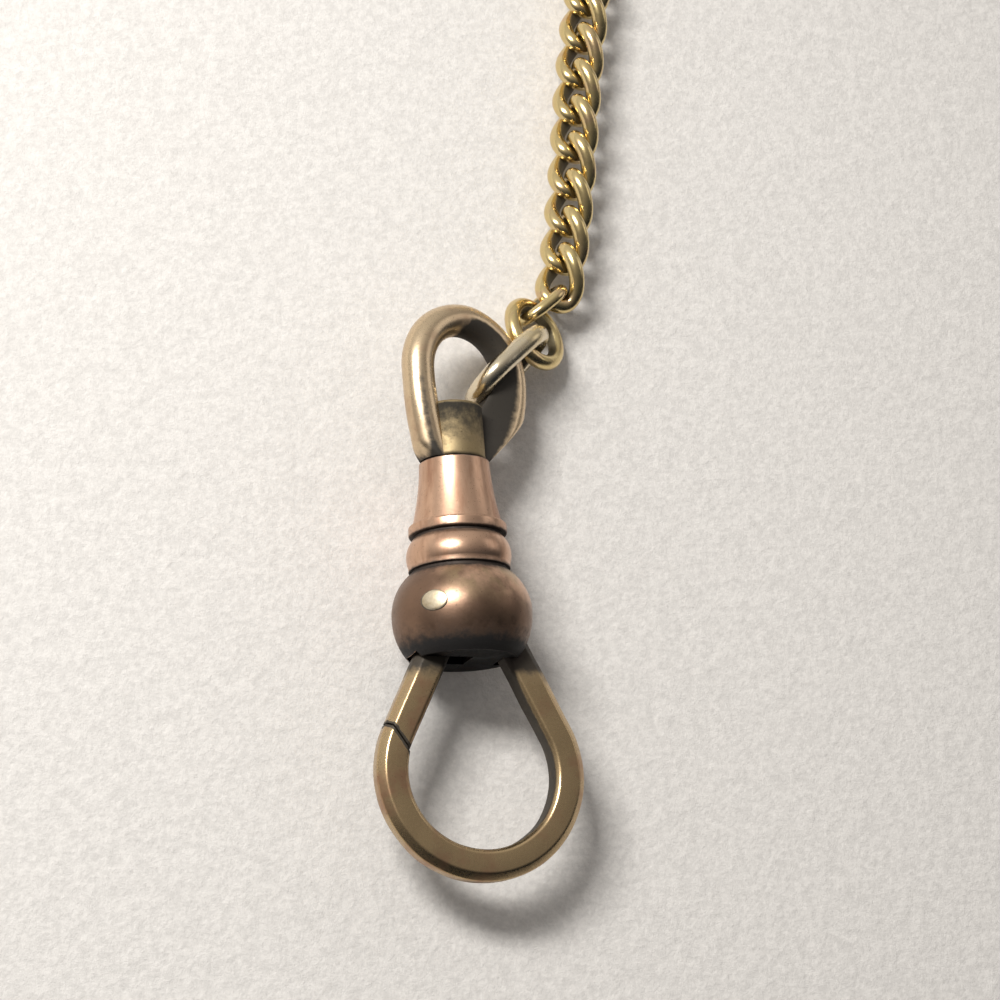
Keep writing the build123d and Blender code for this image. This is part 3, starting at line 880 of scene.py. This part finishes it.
class CLASP_OT_bow(bpy.types.Operator):
    """Bends the bow's wire and solders it to the head"""
    bl_idname = "clasp.bow"
    bl_label = "Bow"

    def execute(self, context):
        hook, barrel = named("hook"), named("barrel")
        bow, finish = named("bow"), named("finish")
        sleeve, seat = heights()[1:]
        across = Vector((cos(bow.turn), 0, -sin(bow.turn)))
        through = across.cross(ALONG)
        origin = Vector((-hook.offset, hook.reach + sleeve, 0))
        flat = []
        for side in (-1, 1):
            shoulder = (bow.shift + side * bow.bend, bow.height)
            foot = (side * bow.foot, -bow.drop)
            inward, drop = foot[0] - shoulder[0], shoulder[1] - foot[1]
            half = atan2(abs(inward), drop)
            radius = drop / sin(2 * half)
            waist = (shoulder[0] + copysign(radius * (1 - cos(half)), inward),
                     shoulder[1] - radius * sin(half))
            leg = arc_points(foot, waist, shoulder, 56)
            if side < 0:
                bend = arc_points(shoulder, (bow.shift, bow.height + bow.bend),
                                  (bow.shift + bow.bend, bow.height), 110)
                flat += leg + bend[1:]
            else:
                flat += leg[::-1][1:]
        line = [origin + across * x + ALONG * y for x, y in flat]
        rings, grime = [], []
        count = 48
        limit_low = hook.reach + seat + bow.seat_gap
        for k, point in enumerate(line):
            ahead = (line[min(k + 1, len(line) - 1)] - line[max(k - 1, 0)]).normalized()
            side = ahead.cross(through)
            aside, height = flat[k]
            flare = 1 + bow.flare * exp(-max(0.0, height) / bow.flare_fade)
            middle = origin + across * bow.shift + ALONG * min(height, bow.height)
            toward = (middle - point).normalized()
            # far and lower only weigh where the painted shade and the painted reflection band below fall on
            # the wire.
            far = min(1.0, max(0.0, 0.5 + (aside - bow.shift * 0.6) / (1.6 * MM)))
            far *= 1.15 if aside > bow.shift else 0.8
            lower = min(1.0, max(0.25, (6.2 * MM - height) / (2.2 * MM)))
            ring = []
            for step in range(count):
                turn = FULL * step / count
                out = side * cos(turn) + through * sin(turn)
                place = point + out * bow.wire * flare
                place += out * (bumpy(place, bow.wave, bow.wave_height) - 0.02 * MM)
                place.y = max(place.y, limit_low)
                away = Vector((place.x + hook.offset, 0, place.z))
                rise = place.y - limit_low
                away *= limited(away.length, barrel.cone_top + rise, bow.blend) / away.length
                pull = 0.0
                if aside > bow.shift and out.dot(across) < 0:
                    web = barrel.head_radius - bow.web_inset + max(0.0, rise - barrel.head_height * 0.9) * 0.6
                    pull = min(1.0, -1.6 * out.dot(across))
                    away *= 1 - pull + pull * limited(away.length, web, bow.web_blend) / away.length
                place = Vector((away.x - hook.offset, place.y, away.z))
                ring.append(place)
                # Painted shade on the far leg's inner side, at the wire's foot and over the web that joins
                # the far leg to the head, and a dark painted reflection band down the near leg.
                turned_in = out.dot(toward)
                inner = max(0.0, turned_in + 0.12) * 2.6
                low = exp(-max(0.0, place.y - limit_low) / (0.35 * MM))
                dark_reflection_band = 0.70 * exp(-((turned_in + 0.42) / 0.28) ** 2) * (1 - far) * lower
                solder = min(1.0, 2.2 * pull)
                grime.append(min(1.0, inner * far + dark_reflection_band + solder + 0.7 * low))
            rings.append(ring)
        gold = worn_metal("bow_gold", finish.bow, finish.copper, (0.5, 0.52, 0.78, 0.5), 0.29,
                          (1.6, (1, 1, 1), 0.004), shade_and_dirt=0.95)
        wire = rings_mesh("bow_wire", rings, grime)
        finish_piece("bow_wire", wire, gold, "swivel", ["bow"])
        return {"FINISHED"}


# Rings and links

def link_tree(material):
    """A tree that bends one wire link: oval or squared, flat or twisted, at its place."""
    tree = bpy.data.node_groups.new("wire_link", "GeometryNodeTree")
    sizes = [("Half Length", "Float"), ("Half Width", "Float"), ("Straight", "Float"),
             ("Wire Radius", "Float"), ("Power", "Float"), ("Twist", "Float"), ("Roll", "Float"),
             ("Centre", "Vector"), ("Rotation", "Vector"), ("Uneven", "Float"), ("Seed", "Float"),
             ("Steps", "Int"), ("Sides", "Int")]
    for name, kind in sizes:
        tree.interface.new_socket(name, in_out="INPUT", socket_type="NodeSocket" + kind)
    tree.interface.new_socket("Geometry", in_out="OUTPUT", socket_type="NodeSocketGeometry")
    made = Tree(tree)
    source = tree.nodes.new("NodeGroupInput")
    size = {name: Sock(made, source.outputs[name]) for name, kind in sizes}

    loop = made.node("GeometryNodeCurvePrimitiveCircle", {}, {"Resolution": size["Steps"], "Radius": 1.0})
    turn = made.node("GeometryNodeInputIndex") * FULL * made.function("DIVIDE", 1.0, size["Steps"])
    cosine, sine = made.function("COSINE", turn), made.function("SINE", turn)

    def squared(value):
        return made.function("SIGN", value) * made.function("ABSOLUTE", value) ** size["Power"]

    across = squared(cosine) * size["Half Width"]
    along = squared(sine) * (size["Half Length"] - size["Straight"])
    along = along + made.function("SIGN", sine) * size["Straight"]
    twist = size["Roll"] + size["Twist"] * along * made.function("DIVIDE", 1.0, size["Half Length"])
    line = made.node("ShaderNodeCombineXYZ", {}, {"X": across * made.function("COSINE", twist), "Y": along,
                                                  "Z": across * made.function("SINE", twist)})
    curve = made.node("GeometryNodeSetPosition", {}, {"Geometry": loop, "Position": line})
    curve = made.node("GeometryNodeResampleCurve", {}, {"Curve": curve, "Count": size["Steps"]})
    section = made.node("GeometryNodeCurvePrimitiveCircle", {}, {"Resolution": size["Sides"],
                                                                 "Radius": size["Wire Radius"]})
    mesh = made.node("GeometryNodeCurveToMesh", {}, {"Curve": curve, "Profile Curve": section})

    position = made.node("GeometryNodeInputPosition")
    normal = made.node("GeometryNodeInputNormal")
    parts = made.tree.nodes.new("ShaderNodeSeparateXYZ")
    made.feed(parts.inputs[0], position)
    x, y, z = (Sock(made, output) for output in parts.outputs)
    # Painted shade: the side of the wire that faces the link's middle is stored darker, as a point attribute.
    half = size["Half Length"] * 0.55
    core = made.function("MINIMUM", made.function("MAXIMUM", y, half * -1.0), half)
    toward = made.node("ShaderNodeCombineXYZ", {}, {"X": x * -1.0, "Y": core - y, "Z": z * -1.0})
    toward = made.node("ShaderNodeVectorMath", {"operation": "NORMALIZE"}, {0: toward})
    inward = made.node("ShaderNodeVectorMath", {"operation": "DOT_PRODUCT"}, {0: toward, 1: normal},
                       output="Value")
    hollow = made.function("MULTIPLY", inward - 0.05, 1.8, use_clamp=True)
    mesh = made.node("GeometryNodeStoreNamedAttribute", {"data_type": "FLOAT", "domain": "POINT"},
                     {"Geometry": mesh, "Name": "grime", "Value": hollow})

    seeded = made.node("ShaderNodeVectorMath", {"operation": "ADD"},
                       {0: position, 1: made.node("ShaderNodeCombineXYZ", {}, {"X": size["Seed"]})})
    cloud = made.node("ShaderNodeTexNoise", {}, {"Vector": seeded, "Scale": 620.0, "Detail": 2.0})
    shift = made.node("ShaderNodeVectorMath", {"operation": "SCALE"},
                      {0: normal, "Scale": (cloud - 0.62) * size["Uneven"]})
    mesh = made.node("GeometryNodeSetPosition", {}, {"Geometry": mesh, "Offset": shift})
    mesh = made.node("GeometryNodeTransform", {}, {"Geometry": mesh, "Translation": size["Centre"],
                                                   "Rotation": size["Rotation"]})
    mesh = made.node("GeometryNodeRealizeInstances", {}, {"Geometry": mesh})
    mesh = made.node("GeometryNodeSetMaterial", {}, {"Geometry": mesh, "Material": material})
    target = tree.nodes.new("NodeGroupOutput")
    tree.links.new(mesh.socket, target.inputs["Geometry"])
    return tree


def grow(tree, name, values):
    """The tree's result with these inputs, as a plain mesh."""
    host = bpy.data.objects.new(name, bpy.data.meshes.new(name))
    bpy.context.scene.collection.objects.link(host)
    step = host.modifiers.new("grow", "NODES")
    step.node_group = tree
    for item in tree.interface.items_tree:
        if item.in_out == "INPUT" and item.name in values:
            value = values[item.name]
            step[item.identifier] = value if isinstance(value, (int, float)) else tuple(value)
    graph = bpy.context.evaluated_depsgraph_get()
    mesh = bpy.data.meshes.new_from_object(host.evaluated_get(graph))
    bpy.data.objects.remove(host)
    return mesh


def way(heading, fall=0.0):
    """The way along the chain: turned right of the barrel's axis, and falling."""
    return Vector((sin(heading) * cos(fall), cos(heading) * cos(fall), -sin(fall)))


def facing(along, side):
    """The rotation of a link with its length on one way and its flat's normal on another."""
    along, side = along.normalized(), side.normalized()
    across = along.cross(side).normalized()
    return Matrix((across, along, across.cross(along))).transposed().to_euler()


class CLASP_OT_links(bpy.types.Operator):
    """Bends the long link, the jump ring, the end link and the twisted curb links"""
    bl_idname = "clasp.links"
    bl_label = "Rings and links"

    def execute(self, context):
        link, finish = named("links"), named("finish")
        pale = worn_metal("pale_gold", finish.pale, finish.yellow, (0.6, 0.45, 0.75, 0.6), 0.22,
                          (1.6, (1, 1, 1), 0.004), shade_and_dirt=0.92)
        yellow = chain_gold(finish)
        pale_tree, yellow_tree = link_tree(pale), link_tree(yellow)
        square = radians(90)
        common = {"Uneven": link.uneven, "Power": 1.0, "Twist": 0.0, "Roll": 0.0, "Steps": 144, "Sides": 28}

        def oval(name, tree, sizes, heading, fall, lean, centre, seed):
            along = way(heading, fall)
            side = Matrix.Rotation(lean, 3, along) @ way(heading + square)
            half, width, wire = sizes
            return grow(tree, name, {
                **common, "Half Length": half, "Half Width": width, "Wire Radius": wire,
                "Straight": half - width, "Centre": centre, "Rotation": facing(along, side), "Seed": seed})

        mesh = oval("long_wire", pale_tree, (link.long_length, link.long_width, link.long_wire),
                    link.long_heading, link.long_fall, link.long_lean, link.long_place, 0.1)
        finish_piece("long_wire", mesh, pale, "long_link", ["long_link"])
        mesh = oval("ring_wire", yellow_tree, (link.ring_bend, link.ring_bend, link.ring_wire),
                    link.ring_heading, link.ring_fall, -square, link.ring_place, 0.2)
        finish_piece("ring_wire", mesh, yellow, "jump_ring", ["jump_ring"])
        mesh = oval("end_wire", yellow_tree, (link.end_length, link.end_width, link.end_wire),
                    link.end_heading, link.end_fall, link.end_lean, link.end_place, 0.3)
        finish_piece("end_wire", mesh, yellow, "end_link", ["end_link"])

        headings = [radians(value) for value in link.headings]
        centre = Vector(link.curb_place)
        for k, heading in enumerate(headings):
            if k:
                centre = centre + way((heading + headings[k - 1]) / 2) * link.pitch
            name = f"curb_wire_{k + 1:02d}"
            mesh = grow(yellow_tree, name, {
                **common, "Half Length": link.half_length, "Half Width": link.half_width, "Straight": 0.0,
                "Wire Radius": link.wire, "Power": 2 / link.square, "Twist": link.twist, "Roll": link.roll,
                "Centre": centre, "Rotation": (0, 0, -heading), "Seed": 0.4 + 0.1 * k})
            finish_piece(name, mesh, yellow, f"curb_{k + 1:02d}", [f"curb_link_{k + 1:02d}"])
        return {"FINISHED"}


def chain_gold(finish):
    """Bright yellow gold, brown where the links rub, and painted shade inside the links."""
    made = Maker("chain_gold")
    hollow = made.attribute("grime")
    cloud = made.noise(0.9, 4.0, 0.6, (1, 1, 1), (1.3, 8.0, 2.2))
    tone = made.blend(made.steps(cloud, 0.5, 0.72) * 0.5, finish.yellow, finish.rose)
    # Painted shade: the point attribute darkens the links' inner sides.
    ragged = made.steps(hollow + (made.noise(2.6, 4.0, 0.65) - 0.5) * 0.5, 0.15, 0.75)
    tone = made.blend(ragged * 0.85, tone, finish.grime)
    grain = made.noise(8.0, 3.0, 0.6)
    made.set(Base_Color=tone, Metallic=1.0 - ragged * 0.4,
             Roughness=0.24 + ragged * 0.35 + (grain - 0.5) * 0.14)
    made.set(Normal=made.bump(made.noise(2.2, 3.0, 0.5) * 0.7 + grain * 0.3, 0.008 * MM))
    return made.material


# Pin, and what only shows inside

class CLASP_OT_pin(bpy.types.Operator):
    """Rivets the gate's pin and finishes what sits inside the barrel"""
    bl_idname = "clasp.pin"
    bl_label = "Pin and inner works"

    def execute(self, context):
        hook, barrel, finish = named("hook"), named("barrel"), named("finish")
        pale = worn_metal("rivet_metal", finish.pale, finish.head, (1.6, 0.40, 0.70, 0.8), 0.30,
                          (3.0, (1, 1, 1), 0.006), shade_and_dirt=0.8)
        steel = worn_metal("spring_steel", (0.20, 0.20, 0.21), finish.grime, (0.8, 0.5, 0.7, 0.5), 0.35,
                           (3.0, (1, 0.2, 1), 0.004))
        pivot = pin_place()
        middle = Vector((-hook.offset, hook.reach, 0))
        bulge = barrel.ball_top ** 2 + (barrel.ball_radius - barrel.ball_top_radius) ** 2
        curve = bulge / (2 * (barrel.ball_radius - barrel.ball_top_radius))

        def ball_height(x, y):
            rise = y - middle.y
            radius = barrel.ball_radius - curve + sqrt(max(curve ** 2 - rise ** 2, 0))
            return sqrt(max(radius ** 2 - (x - middle.x) ** 2, 0))

        parts = []
        near = 0.1 * MM
        tilt = (ball_height(pivot.x + near, pivot.y) - ball_height(pivot.x - near, pivot.y)) / (2 * near)
        head = [(1.02, 0.30), (1.02, 0.02), (0.99, -0.55), (0.93, -0.82), (0.8, -0.95),
                (0.6, -1.0), (0.4, -1.0), (0.2, -1.0), (0.04, -1.0)]
        for side in (1, -1):
            rings, grime = [], []
            for share, drop in head:
                ring = []
                for k in range(56):
                    turn = FULL * k / 56
                    x = pivot.x + hook.pin_head * share * cos(turn)
                    y = pivot.y + hook.pin_head * share * sin(turn)
                    flat = ball_height(pivot.x, pivot.y) + (x - pivot.x) * tilt
                    high = ball_height(x, y) * 0.7 + flat * 0.3 - drop * hook.pin_proud
                    if drop > 0.1:
                        high -= drop * MM
                    ring.append(Vector((x, y, side * high)))
                    # Painted shade round the rivet head's rim, where it meets the ball.
                    grime.append(0.9 if share > 0.97 else 0.0)
                rings.append(ring)
            parts.append(rings_mesh("rivet", rings, grime))
        shank = prism(circle(pivot, hook.pin_radius), -hook.pin_reach, hook.pin_reach)
        finish_piece("rivet", joined(*parts, shank), pale, "housing", ["gate_pin"])
        # The ball's floor is painted near black as painted shade under the ball, with brown patina patches.
        dark = worn_metal("floor_patina_and_shade", finish.grime, finish.patina, (0.9, 0.50, 0.80, 0.5), 0.50,
                          (1.2, (1, 1, 1), 0.006))
        for node, material in (("gate_spring", steel), ("ball_floor", dark),
                               ("stem_washer", bpy.data.materials["head_brass"])):
            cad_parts[node].data.materials.clear()
            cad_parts[node].data.materials.append(material)
        return {"FINISHED"}


# Stage

class CLASP_OT_stage(bpy.types.Operator):
    """Lays the pale floor and sets the lamps and the camera"""
    bl_idname = "clasp.stage"
    bl_label = "Stage"

    def execute(self, context):
        scene, hook, finish = context.scene, named("hook"), named("finish")
        scene.view_settings.view_transform = "Standard"
        made = Maker("paper")
        fibres = made.noise(1.3, 7.0, 0.72, (1, 1, 1), (0.4, 0.1, 0))
        flecks = made.noise(3.2, 4.0, 0.6, (1, 1, 1), (0.7, 0.2, 0))
        soft = made.steps(fibres * 0.45 + flecks * 0.55, 0.38, 0.62)
        shade, pulp = [c * 0.90 for c in finish.paper], [min(1, c * 1.04) for c in finish.paper]
        made.set(Base_Color=made.blend(soft, shade, pulp), Roughness=0.88 + soft * 0.08,
                 Normal=made.bump(fibres, 0.10 * MM))
        span, gap = 0.6, 0.02 * MM
        low = cad_box[0][2] - gap
        corners = [(-span, -span, low), (span, -span, low), (span, span, low), (-span, span, low)]
        floor = bpy.data.objects.new("floor", mesh_from("floor", corners, [(0, 1, 2, 3)]))
        scene.collection.objects.link(floor)
        floor.data.materials.append(made.material)

        def lamp(name, place, size, power, tint):
            light = bpy.data.lights.new(name, "AREA")
            light.shape = "RECTANGLE"
            light.size, light.size_y = size
            light.energy = power
            light.color = tint
            holder = bpy.data.objects.new(name, light)
            holder.matrix_world = aimed(Vector(place), ALONG * (12 * MM), ALONG)
            scene.collection.objects.link(holder)

        lamp("window", (-0.094, 0.072, 0.128), (0.062, 0.034), 0.30, (1.0, 0.985, 0.96))
        lamp("fill", (0.336, 0.15, 0.18), (0.20, 0.20), 0.10, (1.0, 0.96, 0.92))

        world = bpy.data.worlds.new("room")
        scene.world = world
        world.use_nodes = True
        room = Tree(world.node_tree)
        direction = room.node("ShaderNodeTexCoord", output="Generated")
        parts = room.tree.nodes.new("ShaderNodeSeparateXYZ")
        room.feed(parts.inputs[0], direction)
        x, y, z = (Sock(room, output) for output in parts.outputs)
        level = room.node("ShaderNodeValToRGB", {"stops": [
            (0.28, (0.015, 0.019, 0.025)), (0.43, (0.080, 0.082, 0.088)), (0.56, (0.215, 0.205, 0.20)),
            (0.65, (0.34, 0.325, 0.31)), (0.76, (0.60, 0.585, 0.56)), (0.95, (0.78, 0.77, 0.75))]},
            {"Fac": y * 0.30 + z * 0.125 - x * 0.15 + 0.5})
        background = room.tree.nodes["Background"]
        room.feed(background.inputs["Color"], level)
        background.inputs["Strength"].default_value = 1.0

        eye = Vector((-0.33, -0.267, 0.906))
        right, up = Vector((0.943, -0.054, 0.327)), Vector((-0.039, 0.962, 0.27))
        ball = Vector((-hook.offset, hook.reach, 0))
        pixel = DISTANCE / FOCAL
        data = bpy.data.cameras.new("camera")
        data.lens = FOCAL / FRAME * data.sensor_width
        camera = bpy.data.objects.new("camera", data)
        aside, below = BALL_SEEN[0] - FRAME / 2, BALL_SEEN[1] - FRAME / 2
        place = ball + eye * DISTANCE - right * (aside * pixel) + up * (below * pixel)
        rows = (right.normalized(), up.normalized(), eye.normalized())
        camera.matrix_world = Matrix.Translation(place) @ Matrix(rows).transposed().to_4x4()
        scene.collection.objects.link(camera)
        scene.camera = camera
        return {"FINISHED"}


def aimed(place, target, up):
    """A lamp's matrix, looking from its place at a target."""
    back = (place - target).normalized()
    right = up.cross(back).normalized()
    return Matrix.Translation(place) @ Matrix((right, back.cross(right), back)).transposed().to_4x4()


class CLASP_PT_panel(bpy.types.Panel):
    """Lists the steps in order"""
    bl_idname = "CLASP_PT_panel"
    bl_label = "Clasp"
    bl_space_type = "VIEW_3D"
    bl_region_type = "UI"
    bl_category = "Clasp"

    def draw(self, context):
        for step in STEPS:
            self.layout.operator(step.bl_idname)


STEPS = (CLASP_OT_hook, CLASP_OT_barrel, CLASP_OT_bow, CLASP_OT_links, CLASP_OT_pin, CLASP_OT_stage)


def register():
    for group in GROUPS.values():
        bpy.utils.register_class(group)
    for name, group in GROUPS.items():
        setattr(bpy.types.Scene, name, bpy.props.PointerProperty(type=group))
    for step in STEPS:
        bpy.utils.register_class(step)
    bpy.utils.register_class(CLASP_PT_panel)


def unregister():
    bpy.utils.unregister_class(CLASP_PT_panel)
    for step in reversed(STEPS):
        bpy.utils.unregister_class(step)
    for name, group in GROUPS.items():
        delattr(bpy.types.Scene, name)
        bpy.utils.unregister_class(group)


def main():
    register()
    bpy.ops.clasp.hook()
    bpy.ops.clasp.barrel()
    bpy.ops.clasp.bow()
    bpy.ops.clasp.links()
    bpy.ops.clasp.pin()
    bpy.ops.clasp.stage()


if __name__ == "__main__":
    main()
